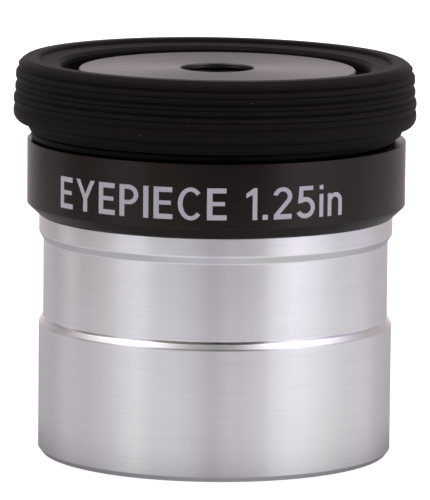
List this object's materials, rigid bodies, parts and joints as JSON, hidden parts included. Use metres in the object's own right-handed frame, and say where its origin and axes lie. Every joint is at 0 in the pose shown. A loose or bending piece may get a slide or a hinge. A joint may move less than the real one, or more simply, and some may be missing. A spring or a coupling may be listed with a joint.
{
  "type": "telescope eyepiece",
  "caption": "Telescope eyepiece: turned push-fit nosepiece with a safety undercut, black screwed body, flat eye plate with a small sight hole and a folded-down ribbed rubber eyecup.",
  "frame": {"origin": "centre of the nosepiece's open field end, on the optical axis", "axes": "+Z along the optical axis towards the eye; +X and +Y lie in the plane of the nosepiece's open end"},
  "size_m": [0.036, 0.036, 0.0355],
  "materials": {
    "turned_aluminium": "fine-turned, satin, clear anodised",
    "black_anodised": "black anodised, satin",
    "eye_plate_black": "face-turned, black anodised, satin sheen",
    "cell_black": "matt black",
    "spacer_brass": "turned",
    "eyecup_rubber": "matt moulded",
    "crown_glass": "polished, anti-reflection coated",
    "flint_glass": "polished, anti-reflection coated"
  },
  "bodies": {
    "barrel": {"barrel": "turned_aluminium"},
    "lens_group": {"lens_cell": "cell_black", "eye_flint": "flint_glass", "eye_crown": "crown_glass", "lens_spacer": "spacer_brass", "field_crown": "crown_glass", "field_flint": "flint_glass", "retaining_ring": "cell_black", "field_stop": "cell_black"},
    "housing": {"housing": "black_anodised", "eye_cap": "eye_plate_black", "eyecup_base": "eyecup_rubber", "eyecup_wall": "eyecup_rubber"},
    "eyecup_skirt": {"eyecup_skirt": "eyecup_rubber"}
  },
  "joints": [
    {"name": "barrel_thread_lift", "type": "slide", "parent": "barrel", "child": "lens_group", "axis": [0, 0, 1], "range_m": [0, 0.00375]},
    {"name": "barrel_thread_turn", "type": "hinge", "parent": "lens_group", "child": "housing", "pos_m": [0, 0, 0.0216], "axis": [0, 0, 1], "range_deg": [0, 1800]},
    {"name": "eyecup_fold", "type": "slide", "parent": "housing", "child": "eyecup_skirt", "axis": [0, 0, 1], "range_m": [0, 0.0064], "deforming": ["eyecup_wall"]}
  ],
  "couplings": [
    {"joint": "barrel_thread_turn", "follows": "barrel_thread_lift", "rad_per_m": 8377.6}
  ]
}
